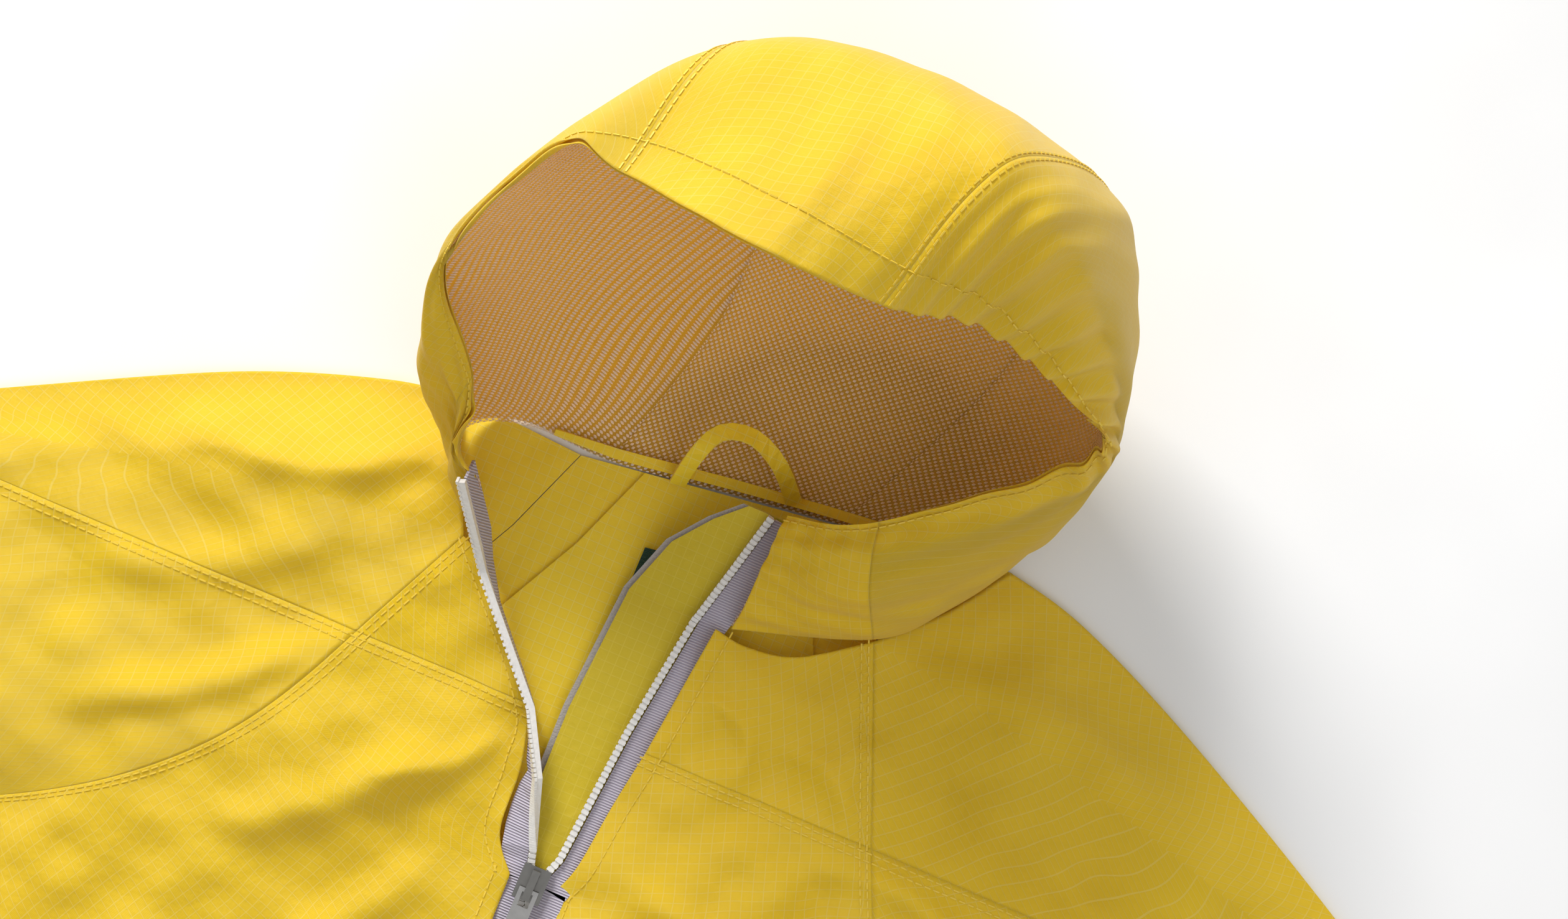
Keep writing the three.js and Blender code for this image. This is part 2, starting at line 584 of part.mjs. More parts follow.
// ---- hanging loop and label ----
const LOOP_ROWS = [
  { at: 'right base', x: -18.7, y: 186.5, z: 5.5, wide: [0.9, 0.4, 0] },
  { at: 'right leg', x: -16.5, y: 197, z: 15, wide: [0.95, 0.2, 0.1] },
  { at: 'crown right', x: -11, y: 207.5, z: 23, wide: [0.6, -0.7, 0.3] },
  { at: 'crown left', x: -0.8, y: 210, z: 24, wide: [0.1, -0.9, 0.4] },
  { at: 'left leg', x: 10.5, y: 205, z: 17, wide: [-0.6, -0.8, 0.1] },
  { at: 'left base', x: 19.5, y: 196, z: 5.8, wide: [-0.9, -0.4, 0] },
];
const loopRows = LOOP_ROWS.map((row) => [row.x, row.y, row.z, ...row.wide]);
const loopGrid = spaced(16, (t) => {
  const x = t * (loopRows.length - 1);
  const [px, py, pz, wx, wy, wz] = throughRows(loopRows, x);
  const ahead = throughRows(loopRows, Math.min(loopRows.length - 1, x + 0.05));
  const behind = throughRows(loopRows, Math.max(0, x - 0.05));
  const run = new THREE.Vector3(ahead[0] - behind[0], ahead[1] - behind[1], ahead[2] - behind[2]).normalize();
  const across = new THREE.Vector3(wx, wy, wz);
  across.addScaledVector(run, -across.dot(run)).normalize();
  const n = across.clone().cross(run).normalize();
  return [-LOOP_WIDTH / 2, LOOP_WIDTH / 2].map((w) => ({
    p: new THREE.Vector3(px, py, pz).addScaledVector(across, w), n,
  }));
});
addPiece('hanging_loop', wall(loopGrid, 0, CLOTH), 0xf0c818);

const labelTop = straight([-20.3, 162.5], [-20.3 + LABEL_WIDE, 162.5 + LABEL_WIDE * LABEL_LEAN], 3);
const labelBottom = labelTop.map(([x, y]) => [x, y - LABEL_TALL]);
const labelSide = (k) => straight(labelTop[k], labelBottom[k], 3);
addPanel('label', stretched(labelTop, labelBottom, labelSide(0), labelSide(2), () => onBack() + NET + GAP), NET, 0x14402f);

export default jacket;
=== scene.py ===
import json
import math
import bpy
import numpy as np
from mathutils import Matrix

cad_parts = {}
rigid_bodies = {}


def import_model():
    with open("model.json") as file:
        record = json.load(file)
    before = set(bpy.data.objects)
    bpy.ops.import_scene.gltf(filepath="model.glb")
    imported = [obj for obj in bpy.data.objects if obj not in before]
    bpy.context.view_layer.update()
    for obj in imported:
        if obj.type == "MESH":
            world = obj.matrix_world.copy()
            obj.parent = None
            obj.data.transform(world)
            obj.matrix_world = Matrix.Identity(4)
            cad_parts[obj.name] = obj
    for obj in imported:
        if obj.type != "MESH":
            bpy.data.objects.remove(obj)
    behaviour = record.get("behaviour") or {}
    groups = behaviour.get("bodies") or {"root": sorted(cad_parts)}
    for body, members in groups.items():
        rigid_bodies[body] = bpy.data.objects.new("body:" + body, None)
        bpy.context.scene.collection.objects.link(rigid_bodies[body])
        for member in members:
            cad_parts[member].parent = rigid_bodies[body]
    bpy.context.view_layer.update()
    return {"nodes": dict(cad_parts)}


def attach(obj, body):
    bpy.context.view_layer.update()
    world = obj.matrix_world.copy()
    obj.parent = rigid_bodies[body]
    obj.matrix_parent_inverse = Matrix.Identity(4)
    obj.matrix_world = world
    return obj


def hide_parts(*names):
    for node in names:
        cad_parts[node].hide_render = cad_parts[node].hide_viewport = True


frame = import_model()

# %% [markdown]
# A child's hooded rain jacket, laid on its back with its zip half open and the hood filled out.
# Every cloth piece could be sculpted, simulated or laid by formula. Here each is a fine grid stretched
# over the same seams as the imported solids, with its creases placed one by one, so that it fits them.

MM = 0.001
for thing in bpy.data.objects:
    thing.select_set(False)
print("packed nodes:", len(frame["nodes"]))

# %% [markdown]
# The camera looks straight down from 1.3 m, and is rolled so that the garment leans to the right.
# It could be placed by eye, but a known height and frame width give the lens by proportion.

# %% Camera
CAMERA_HIGH = 1.3
FRAME_WIDE = 0.525
ROLL = math.radians(23)
camera_data = bpy.data.cameras.new("camera")
camera_data.sensor_width = 36
camera_data.lens = camera_data.sensor_width * CAMERA_HIGH / FRAME_WIDE
camera = bpy.data.objects.new("camera", camera_data)
camera.location = (0.0111, 0.2075, CAMERA_HIGH)
camera.rotation_euler = (0, 0, ROLL)
bpy.context.scene.collection.objects.link(camera)
bpy.context.scene.camera = camera
bpy.context.scene.view_settings.view_transform = "Standard"
print("lens", round(camera_data.lens, 1))

# %% [markdown]
# Shader sums read best as plain expressions, so one class wraps a socket and its operators add nodes.

# %% Shader expressions
class Value:
    def __init__(self, shader, socket):
        self.shader, self.socket = shader, socket

    def _math(self, operation, other, swap=False):
        pair = (other, self) if swap else (self, other)
        return self.shader.node("ShaderNodeMath", {"operation": operation}, dict(enumerate(pair)))

    def __add__(self, other): return self._math("ADD", other)
    def __radd__(self, other): return self._math("ADD", other, True)
    def __sub__(self, other): return self._math("SUBTRACT", other)
    def __rsub__(self, other): return self._math("SUBTRACT", other, True)
    def __mul__(self, other): return self._math("MULTIPLY", other)
    def __rmul__(self, other): return self._math("MULTIPLY", other, True)
    def __truediv__(self, other): return self._math("DIVIDE", other)
    def __gt__(self, other): return self._math("GREATER_THAN", other)
    def wave(self): return (self * (2 * math.pi))._math("COSINE", 0)
    def top(self, other): return self._math("MAXIMUM", other)


class Shader:
    """A material whose nodes come from one method, and whose cloth map is in metres."""

    def __init__(self, name, **constants):
        self.material = bpy.data.materials.new(name)
        self.material.use_nodes = True
        self.nodes = self.material.node_tree.nodes
        self.links = self.material.node_tree.links
        self.surface = self.nodes["Principled BSDF"]
        for socket, value in constants.items():
            self.surface.inputs[socket.replace("_", " ")].default_value = value

    def node(self, kind, settings, inputs, output=0):
        made = self.nodes.new(kind)
        for key, value in settings.items():
            setattr(made, key, value)
        for key, value in inputs.items():
            self.feed(made.inputs[key], value)
        return Value(self, made.outputs[output])

    def feed(self, socket, value):
        if isinstance(value, Value):
            self.links.new(value.socket, socket)
        else:
            socket.default_value = value

    def cloth_map(self, own=True):
        """Two lengths on the cloth: from its own map, or in plan where it has none."""
        if own:
            place = self.node("ShaderNodeUVMap", {"uv_map": "Cloth"}, {})
        else:
            place = self.node("ShaderNodeTexCoord", {}, {}, "Object")
        split = self.node("ShaderNodeSeparateXYZ", {}, {0: place}).socket.node
        return Value(self, split.outputs[0]), Value(self, split.outputs[1])

    def noise(self, scale, detail):
        place = self.node("ShaderNodeTexCoord", {}, {}, "Object")
        return self.node("ShaderNodeTexNoise", {}, {"Vector": place, "Scale": scale, "Detail": detail}, 0)

    def mix(self, factor, first, second):
        return self.node("ShaderNodeMix", {"data_type": "RGBA"}, {0: factor, 6: first, 7: second}, 2)

    def finish(self, color, roughness=None, height=None, depth=0.0002, alpha=None, through=0, glow_color=None):
        """Wires the surface. through is the share of light let through, in the plain glow_color."""
        self.feed(self.surface.inputs["Base Color"], color)
        if roughness is not None:
            self.feed(self.surface.inputs["Roughness"], roughness)
        if alpha is not None:
            self.feed(self.surface.inputs["Alpha"], alpha)
        if height is not None:
            bump = self.node("ShaderNodeBump", {}, {"Height": height, "Distance": depth, "Strength": 0.8})
            self.feed(self.surface.inputs["Normal"], bump)
        if through:
            glow = self.node("ShaderNodeBsdfTranslucent", {}, {"Color": glow_color})
            front = Value(self, self.surface.outputs[0])
            blend = self.node("ShaderNodeMixShader", {}, {0: through, 1: front, 2: glow})
            self.feed(self.nodes["Material Output"].inputs["Surface"], blend)
        return self.material


# %% [markdown]
# The shell is a coated ripstop: a plain weave with a heavier thread every 3.5 mm, seen as pale lines.
# Its grid could be an image, but two cosines on the cloth map give it at any size.

# %% Ripstop
RIPSTOP = 0.0035
WEAVE = 0.00035
LINE_FROM = 0.965  # the part of the cosine's top that is the heavier thread
SHELL_GLOW = 0.28
YELLOW = dict(base=(0.93, 0.68, 0.014, 1), pale=(0.98, 0.86, 0.26, 1), deep=(0.88, 0.60, 0.006, 1))
GREENISH = dict(base=(0.66, 0.50, 0.004, 1), pale=(0.80, 0.66, 0.08, 1), deep=(0.60, 0.44, 0.002, 1))


def ripstop(name, base, pale, deep, own=True):
    shader = Shader(name, Roughness=0.42, Sheen_Weight=0.25, Sheen_Roughness=0.4)
    u, v = shader.cloth_map(own)
    across, along = (u / RIPSTOP).wave(), (v / RIPSTOP).wave()
    line = across.top(along) > LINE_FROM
    weave = (u / WEAVE).wave() * (v / WEAVE).wave()
    cloud = shader.noise(14, 3)
    color = shader.mix(cloud, base, deep)
    color = shader.mix(line * 0.34, color, pale)
    crinkle = shader.noise(70, 4)
    height = crinkle * 2.2 + line * 0.25 + weave * 0.05
    middle = tuple((a + b) / 2 for a, b in zip(base, deep))
    through = SHELL_GLOW if own else 0
    return shader.finish(color, 0.36 + 0.14 * cloud, height, 0.0009, None, through, middle)


shell_cloth = ripstop("shell ripstop", **YELLOW)
shell_plan = ripstop("shell ripstop in plan", **YELLOW, own=False)
flap_plan = ripstop("underlap ripstop in plan", **GREENISH, own=False)

# %% [markdown]
# The lining is a knitted net. Cutting thousands of holes would be heavy, so the holes are alpha: a sum
# of two cosines is high at the middle of each hole and low on the strands.

# %% Net
NET_PITCH = 0.0023
HOLE_FROM = -0.35
NET_GLOW = 0.3


def net(name, strand):
    shader = Shader(name, Roughness=0.55, Sheen_Weight=0.3)
    u, v = shader.cloth_map()
    across, along = ((u + v) / NET_PITCH).wave(), ((u - v) / NET_PITCH).wave()
    hole = (across + along) > HOLE_FROM
    return shader.finish(strand, None, across * along, 0.0003, 1 - hole, NET_GLOW, strand)


net_cloth = net("lining net", (0.98, 0.84, 0.72, 1))
print("cloths made")

# %% [markdown]
# The small finishes share one recipe: a base tone with a fine grain that also gives the bump.

# %% Tape, teeth, fleece, thread, metal and label
TAPE_RIB = 0.0009
LABEL_RIB = 0.0006
LABEL_LINES = 0.0044


def plain(name, color, roughness=0.5, grain=900, depth=0.0001, **constants):
    shader = Shader(name, **constants)
    tone = shader.noise(grain, 3)
    darker = tuple(0.72 * part for part in color[:3]) + (1,)
    return shader.finish(shader.mix(tone, color, darker), roughness, tone, depth)


def zip_tape():
    shader = Shader("zip tape", Roughness=0.6, Sheen_Weight=0.2)
    _, v = shader.cloth_map(False)
    rib = (v / TAPE_RIB).wave()
    # The grey runs dark in the groove between two ribs and light on each rib's crest: painted shade in the
    # grooves, laid over the real ribs that the bump gives.
    grey = shader.mix(rib * 0.5 + 0.5, (0.36, 0.31, 0.40, 1), (0.66, 0.62, 0.70, 1))
    return shader.finish(grey, None, rib, 0.0003)


def woven_label():
    shader = Shader("woven label", Roughness=0.6, Sheen_Weight=0.3)
    u, v = shader.cloth_map(False)
    u, v = u + 0.0203, v - 0.1349
    rib = (v / LABEL_RIB).wave()

    def inside(left, low, high):
        return (u > left) * (v > low) * (1 - (v > high))

    line = inside(0.0052, 0.0042, 0.0234) - inside(0.0060, 0.0050, 0.0226)
    band = ((v / LABEL_LINES).wave() > 0.55) * inside(0.0085, 0.0075, 0.0205)
    # The green runs darker in the groove between two ribs and lighter on each crest: painted shade in the
    # grooves, over the real ribs of the bump. The lines and the band are the label's print.
    green = shader.mix(rib * 0.3 + 0.3, (0.006, 0.055, 0.032, 1), (0.015, 0.10, 0.06, 1))
    color = shader.mix(line.top(band * 0.5), green, (0.62, 0.50, 0.36, 1))
    return shader.finish(color, None, rib, 0.0002)


tape_cloth = zip_tape()
label_cloth = woven_label()
teeth_plastic = plain("zip teeth", (0.86, 0.84, 0.80, 1), 0.3)
fleece = plain("grey fleece", (0.50, 0.47, 0.45, 1), 0.95, 1500, 0.0006, Sheen_Weight=0.8)
thread = plain("golden thread", (0.86, 0.60, 0.05, 1), 0.5)
dark_metal = plain("dark nickel", (0.34, 0.33, 0.31, 1), 0.28, 300, Metallic=1.0)
bright_metal = plain("bright nickel", (0.66, 0.65, 0.63, 1), 0.25, 300, Metallic=1.0)
print("finishes made")

# %% [markdown]
# All runs through rows of numbers use one smooth curve, so that pieces cut from the same rows agree.

# %% Curves and grids
def ease(t):
    t = np.clip(t, 0, 1)
    return t * t * (3 - 2 * t)


def through_rows(rows, x):
    rows, x = np.asarray(rows, float), np.asarray(x, float)
    last = len(rows) - 1
    i = np.clip(np.floor(x).astype(int), 0, last - 1)
    t = (x - i)[..., None]
    a, b, c, d = (rows[np.clip(i + k, 0, last)] for k in (-1, 0, 1, 2))
    pull, push, rise = (c - a) / 2, (d - b) / 2, c - b
    return b + pull * t + (3 * rise - 2 * pull - push) * t**2 + (pull + push - 2 * rise) * t**3


def resample(points, count):
    points = np.asarray(points, float)
    run = np.concatenate([[0], np.cumsum(np.linalg.norm(np.diff(points, axis=0), axis=1))])
    at = np.linspace(0, run[-1], count)
    return np.stack([np.interp(at, run, points[:, k]) for k in range(points.shape[1])], 1)


def straight(a, b, count=40):
    return np.linspace(a, b, count)


def smooth_run(points, count=60):
    return through_rows(points, np.linspace(0, len(points) - 1, count))


def hand_noise(x, y, size, seed):
    """Soft even noise from a few turned waves, the same on every run."""
    draw = np.random.default_rng(seed)
    total = np.zeros_like(np.asarray(x, float))
    for _ in range(7):
        turn, phase, stretch = draw.uniform(0, math.pi), draw.uniform(0, 2 * math.pi), draw.uniform(0.7, 1.5)
        total += np.sin((x * math.cos(turn) + y * math.sin(turn)) * 2 * math.pi * stretch / size + phase)
    return total / 7


# %% [markdown]
# A cloth piece is a closed thin wall over its grid, with a map in metres. It stands in for one packed
# node and rides on the garment.

# %% Making a cloth piece
WALL = 0.35


def cloth(name, grid, material, near, far, normals, grain=0.0):
    rows, cols = grid.shape[:2]
    faces_of_wall = [(grid + normals * depth).reshape(-1, 3) for depth in (near, far)]
    layers = np.concatenate(faces_of_wall) * MM
    index = np.arange(rows * cols).reshape(rows, cols)
    low, high = index, index + rows * cols
    quads = [np.stack([low[:-1, :-1], low[1:, :-1], low[1:, 1:], low[:-1, 1:]], -1).reshape(-1, 4),
             np.stack([high[:-1, :-1], high[:-1, 1:], high[1:, 1:], high[1:, :-1]], -1).reshape(-1, 4)]
    for a, b in ((low[0], high[0]), (high[-1], low[-1])):
        quads.append(np.stack([a[:-1], a[1:], b[1:], b[:-1]], -1))
    for a, b in ((high[:, 0], low[:, 0]), (low[:, -1], high[:, -1])):
        quads.append(np.stack([a[:-1], a[1:], b[1:], b[:-1]], -1))
    faces = np.concatenate(quads)
    a, b, c, d = (layers[faces[:, k]] for k in range(4))
    volume = np.einsum("ij,ij->i", a, np.cross(b, c) + np.cross(c, d)).sum()
    if volume < 0:
        faces = faces[:, ::-1]
    mesh = bpy.data.meshes.new(name)
    mesh.from_pydata(layers.tolist(), [], faces.tolist())
    steps = [np.linalg.norm(np.diff(grid, axis=axis), axis=2) for axis in (0, 1)]
    across = np.concatenate([np.zeros((rows, 1)), np.cumsum(steps[1], 1)], 1)
    down = np.concatenate([np.zeros((1, cols)), np.cumsum(steps[0], 0)], 0)
    turn = math.radians(grain)
    turned = np.array([[math.cos(turn), math.sin(turn)], [-math.sin(turn), math.cos(turn)]])
    flat = np.stack([across, down], -1) @ turned
    both = np.concatenate([flat.reshape(-1, 2)] * 2) * MM
    layer = mesh.uv_layers.new(name="Cloth")
    corners = np.empty(len(mesh.loops), dtype=np.int32)
    mesh.loops.foreach_get("vertex_index", corners)
    layer.data.foreach_set("uv", both[corners].ravel())
    mesh.polygons.foreach_set("use_smooth", [True] * len(mesh.polygons))
    mesh.materials.append(material)
    mesh.update()
    piece = bpy.data.objects.new("cloth_" + name, mesh)
    bpy.context.scene.collection.objects.link(piece)
    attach(piece, "garment")
    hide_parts(name)
    corner = grid[:-1, :-1]
    cells = np.cross(grid[1:, :-1] - corner, grid[:-1, 1:] - corner)
    return piece


# %% [markdown]
# The seams in plan. Each half has its neck, raglan, yoke and sleeve points, in millimetres.

# %% Seams
HEM_Y, HEM_HALF, YOKE_Y = -280, 198, 99.5
CUFF_WIDE = 95
SLIDER = (-10.9, 45)
ZIP_HEM = (-4, -276)
TAPE_EDGE = 7.9
HALVES = {
    "left": dict(side=1, neck_point=(95.5, 202.3), raglan_top=(62, 163.4), raglan_yoke=(88.5, YOKE_Y),
                 underarm=(186, 0), lean=0.417, neck_middle=(80, 181), cuff_top=(496, -2),
                 cuff_lean=(-0.469, -0.883), shoulder=[(124, 195.5), (168, 176.5), (232, 143)],
                 zip_neck=(12.2, 147), zip_yoke=(6.8, YOKE_Y),
                 zip_bend=[(3.6, 79), (0.8, 56)], neck_dip=[(24, 145.4), (41, 149)],
                 yoke_end=(296, YOKE_Y), yoke_tip=(296, 106)),
    "right": dict(side=-1, neck_point=(-95.5, 185), raglan_top=(-77, 142.5), raglan_yoke=(-97.3, YOKE_Y),
                  underarm=(-190, 0), lean=0.45, neck_middle=(-87.5, 164), cuff_top=(-494, -10),
                  cuff_lean=(0.469, -0.883), shoulder=[(-121, 180.5), (-168, 163.5), (-232, 131)],
                  zip_neck=(-72, 140.5), zip_yoke=(-35, YOKE_Y), zip_bend=[(-29.5, 79.5), (-27.5, 57)],
                  neck_dip=[(-73.5, 141), (-75.2, 141.7)], yoke_end=(-282, YOKE_Y), yoke_tip=(-282, 104)),
}


def seams_of(half):
    drop = np.linspace(0, YOKE_Y, 40)
    reach = abs(half["underarm"][0] - half["raglan_yoke"][0])
    bend = (reach - half["lean"] * YOKE_Y) / YOKE_Y**3
    out = half["raglan_yoke"][0] + half["side"] * (half["lean"] * drop + bend * drop**3)
    lower = np.stack([out, YOKE_Y - drop], 1)
    cuff_low = np.array(half["cuff_top"]) + np.array(half["cuff_lean"]) * CUFF_WIDE
    return dict(
        raglan_upper=straight(half["raglan_top"], half["raglan_yoke"]), raglan_lower=lower,
        neck_side=smooth_run([half["neck_point"], half["neck_middle"], half["raglan_top"]], 20),
        neck_front=smooth_run([half["zip_neck"], *half["neck_dip"], half["raglan_top"]]),
        overarm_upper=smooth_run([half["neck_point"], *half["shoulder"], half["yoke_tip"]]),
        overarm_lower=straight(half["yoke_tip"], half["cuff_top"]), cuff=straight(half["cuff_top"], cuff_low),
        underarm=straight(half["underarm"], cuff_low),
        side=straight(half["underarm"], (half["side"] * HEM_HALF, HEM_Y)),
        yoke_body=straight(half["zip_yoke"], half["raglan_yoke"]),
        yoke_sleeve=straight(half["raglan_yoke"], half["yoke_end"]),
        end=straight(half["yoke_tip"], half["yoke_end"]),
    )


SEAMS = {name: seams_of(half) for name, half in HALVES.items()}


def joined(*runs):
    return np.concatenate([runs[0]] + [run[1:] for run in runs[1:]])


OUTLINE = [joined(s["overarm_upper"], s["overarm_lower"], s["cuff"]) for s in SEAMS.values()]
OUTLINE += [joined(s["underarm"][::-1], s["side"]) for s in SEAMS.values()]


def distance_to(runs, x, y):
    best = np.full(np.shape(x), 1e9)
    for run in runs:
        run = run[::3] if len(run) > 30 else run
        for (ax, ay), (bx, by) in zip(run[:-1], run[1:]):
            dx, dy = bx - ax, by - ay
            t = np.clip(((x - ax) * dx + (y - ay) * dy) / (dx * dx + dy * dy + 1e-12), 0, 1)
            best = np.minimum(best, np.hypot(x - ax - dx * t, y - ay - dy * t))
    return best


print("seams laid out")


# %% [markdown]
# The laid panels follow one height over the table. Each crease is a stroke with its own width and
# height: a ridge if it is positive, a trough if not. A simulation would place them by chance.

# %% Laid height and its creases
MOUNDS = [(2, 158, 62, 40, 4.6), (132, 150, 40, 26, 7.5), (150, 66, 34, 24, 6.5), (52, 62, 30, 24, 4.5),
          (88, -90, 48, 70, 3.5), (-138, 140, 36, 24, 7), (-88, 58, 36, 30, 6.5), (-92, -120, 46, 62, 3.5),
          (332, 34, 46, 24, 5), (-330, 26, 46, 24, 5)]
STROKES = [  # start x and y, end x and y, half width, height
    (20, 60, 90, 20, 7, 2.6), (40, 96, 95, 60, 6, -1.2), (30, 10, 120, -40, 9, 2.2),
    (100, 92, 170, 50, 7, 2.8), (110, 130, 180, 95, 8, 2.4), (95, 165, 160, 150, 7, 2.2),
    (150, 25, 220, 40, 8, 2.4), (-60, 70, -120, 20, 8, 2.8), (-45, 40, -90, -20, 8, 2.2),
    (-110, 90, -170, 45, 7, 2.6), (-115, 125, -180, 90, 8, 2.2), (-100, 160, -160, 140, 6, 2.0),
    (-40, 85, -75, 60, 5, 1.8), (50, 120, 78, 106, 5, 1.4), (20, 125, 40, 108, 4, 1.2),
    (20, -80, 110, -120, 12, 2.4), (-30, -60, -120, -110, 12, 2.4), (40, -180, 150, -200, 13, 2.0),
    (-40, -190, -150, -180, 13, 2.0), (250, 60, 320, 90, 9, 2.6), (300, 0, 370, 40, 10, 2.4),
    (-250, 50, -320, 80, 9, 2.6), (-300, -10, -370, 30, 10, 2.4), (400, -40, 440, 10, 9, 2.0),
    (-400, -50, -440, 0, 9, 2.0), (30, 30, 60, -10, 5, 1.4), (70, 84, 120, 88, 5, 1.2),
]


EDGE_Z, LAID_Z, FRONT_RISE, EDGE_FALL = 1.5, 1.9, 7.2, 26
CREASE, BOW = 1.7, 5


def swell(x, y):
    """The filled body's rise over the table away from its edges."""
    return FRONT_RISE + sum(
        top * np.exp(-((x - mx) / rx) ** 2 - ((y - my) / ry) ** 2) for mx, my, rx, ry, top in MOUNDS
    )


def laid_height(x, y):
    rise = swell(x, y)
    folds = hand_noise(x, y, 60, 4) * 2.6 + hand_noise(x, y, 24, 5) * 1.5
    for ax, ay, bx, by, wide, top in STROKES:
        dx, dy = bx - ax, by - ay
        t = ((x - ax) * dx + (y - ay) * dy) / (dx * dx + dy * dy)
        bow = BOW * np.sin(np.clip(t, 0, 1) * math.pi)
        off = ((x - ax) * dy - (y - ay) * dx) / math.hypot(dx, dy) + bow
        ends = ease((t + 0.25) / 0.5) * ease((1.25 - t) / 0.5)
        folds = folds + CREASE * top * np.exp(-((off / wide) ** 2)) * ends
    edge = ease(distance_to(OUTLINE, x, y) / EDGE_FALL)
    return LAID_Z + edge * (rise + folds)


def patch(top, bottom, left, right, rows, cols):
    """Four edges filled in: top and bottom run from left to right, left and right from top to bottom."""
    top, bottom = resample(top, cols), resample(bottom, cols)
    left, right = resample(left, rows), resample(right, rows)
    u, v = np.linspace(0, 1, cols)[None, :, None], np.linspace(0, 1, rows)[:, None, None]
    corners = top[0] * (1 - u) * (1 - v) + top[-1] * u * (1 - v) + bottom[0] * (1 - u) * v + bottom[-1] * u * v
    flat = top[None] * (1 - v) + bottom[None] * v + left[:, None] * (1 - u) + right[:, None] * u - corners
    return np.concatenate([flat, laid_height(flat[..., 0], flat[..., 1])[..., None]], 2)


# %% Laid panels
for name, half in HALVES.items():
    s = SEAMS[name]
    side = half["side"]
    zip_ends = [(x + side * TAPE_EDGE, y) for x, y in (SLIDER, ZIP_HEM)]
    zip_low = [half["zip_yoke"], *half["zip_bend"], *zip_ends]
    hem = straight(zip_low[-1], (side * HEM_HALF, HEM_Y))
    zip_edge = joined(smooth_run(zip_low[:4]), straight(zip_low[3], zip_low[4]))
    over_cuff = joined(s["yoke_sleeve"], s["end"][::-1], s["overarm_lower"])
    panels = {  # top, bottom, left, right, rows, columns, degrees of the grain
        "yoke": (s["neck_front"], s["yoke_body"], straight(half["zip_neck"], half["zip_yoke"]),
                 s["raglan_upper"], 70, 90, 28),
        "front": (s["yoke_body"], hem, zip_edge, joined(s["raglan_lower"], s["side"]), 230, 120, 24),
        "sleeve_upper": (s["overarm_upper"], s["yoke_sleeve"], joined(s["neck_side"], s["raglan_upper"]),
                         s["end"], 90, 150, 45 * side),
        "sleeve_lower": (over_cuff, s["underarm"], s["raglan_lower"], s["cuff"], 80, 200, 30 * side),
    }
    for part, (top, bottom, left, right, rows, cols, grain) in panels.items():
        grid = patch(top, bottom, left, right, rows, cols)
        up = np.zeros_like(grid)
        up[..., 2] = 1
        cloth(f"{part}_{name}", grid, shell_cloth, 0.0, WALL, up, grain)

# %% [markdown]
# The hood stands on the neck seam. Twelve ribs give its form from the seam to the face edge, and one
# surface carries the outer cloth, the facing and the lining, so that no layer crosses another.

# %% Hood form
LIFT = 2.4
RIBS = [
    [(-71, 141, None), (-76, 150, 24), (-81, 158, 33), (-86, 166, 40), (-90, 172, 45)],
    [(-85, 158, None), (-90, 166, 30), (-93, 175, 42), (-93, 184, 52), (-91, 192, 60)],
    [(-92, 176, None), (-104, 186, 34), (-111, 200, 58), (-113, 213, 82), (-111, 226, 102)],
    [(-74, 185.5, 0), (-92, 213, 34), (-101, 237, 80), (-98, 256, 125), (-88, 268, 150)],
    [(-42, 184.6, 0), (-26, 252, 12), (-30, 311, 75), (-54, 313, 150), (-65, 266, 169)],
    [(0, 190, 0), (22, 262, 4), (28, 322, 70), (-3, 326, 152), (-24, 261, 186)],
    [(37, 195, 0), (66, 260, 8), (74, 320, 80), (38, 313, 168), (20, 260, 168)],
    [(70, 199.6, 0), (96, 248, 16), (92, 298, 80), (70, 296, 148), (48, 267, 142)],
    [(93, 203, None), (106, 234, 28), (106, 257, 62), (100, 266, 90), (84, 259, 104)],
    [(79.5, 181, None), (93, 205, 28), (101, 226, 46), (104, 238, 59), (100, 246, 71)],
    [(61.5, 164, None), (58, 170, 28), (53, 179, 42), (49, 191, 49), (47, 201, 50)],
    [(17, 149, None), (18, 160, 24), (18, 171, 31), (18.5, 182, 35), (19, 191, 37)],
]


def foot_height(x, y):
    away = distance_to(OUTLINE, np.array(x), np.array(y))
    return EDGE_Z + float(ease(away / EDGE_FALL)) * swell(x, y) + LIFT


RIB_ROWS = np.array(
    [[(x, y, foot_height(x, y) if z is None else z) for x, y, z in rib] for rib in RIBS], float
)


def hood_form(s, t):
    stations = through_rows(RIB_ROWS.reshape(12, 15), s).reshape(*np.shape(s), 5, 3)
    x = np.asarray(t) * 4
    i = np.clip(np.floor(x).astype(int), 0, 3)
    f = (x - i)[..., None]
    places = (np.clip(i + k, 0, 4)[..., None, None] for k in (-1, 0, 1, 2))
    a, b, c, d = (np.take_along_axis(stations, place, -2)[..., 0, :] for place in places)
    pull, push, rise = (c - a) / 2, (d - b) / 2, c - b
    p = b + pull * f + (3 * rise - 2 * pull - push) * f**2 + (pull + push - 2 * rise) * f**3
    p[..., 2] = np.maximum(p[..., 2], 0)
    return p


def inward(s, t):
    step = 0.02
    a = hood_form(np.clip(s + step, 0, 11), t) - hood_form(np.clip(s - step, 0, 11), t)
    b = hood_form(s, np.clip(t + step, 0, 1)) - hood_form(s, np.clip(t - step, 0, 1))
    n = np.cross(a, b)
    return n / np.maximum(np.linalg.norm(n, axis=-1, keepdims=True), 1e-9)


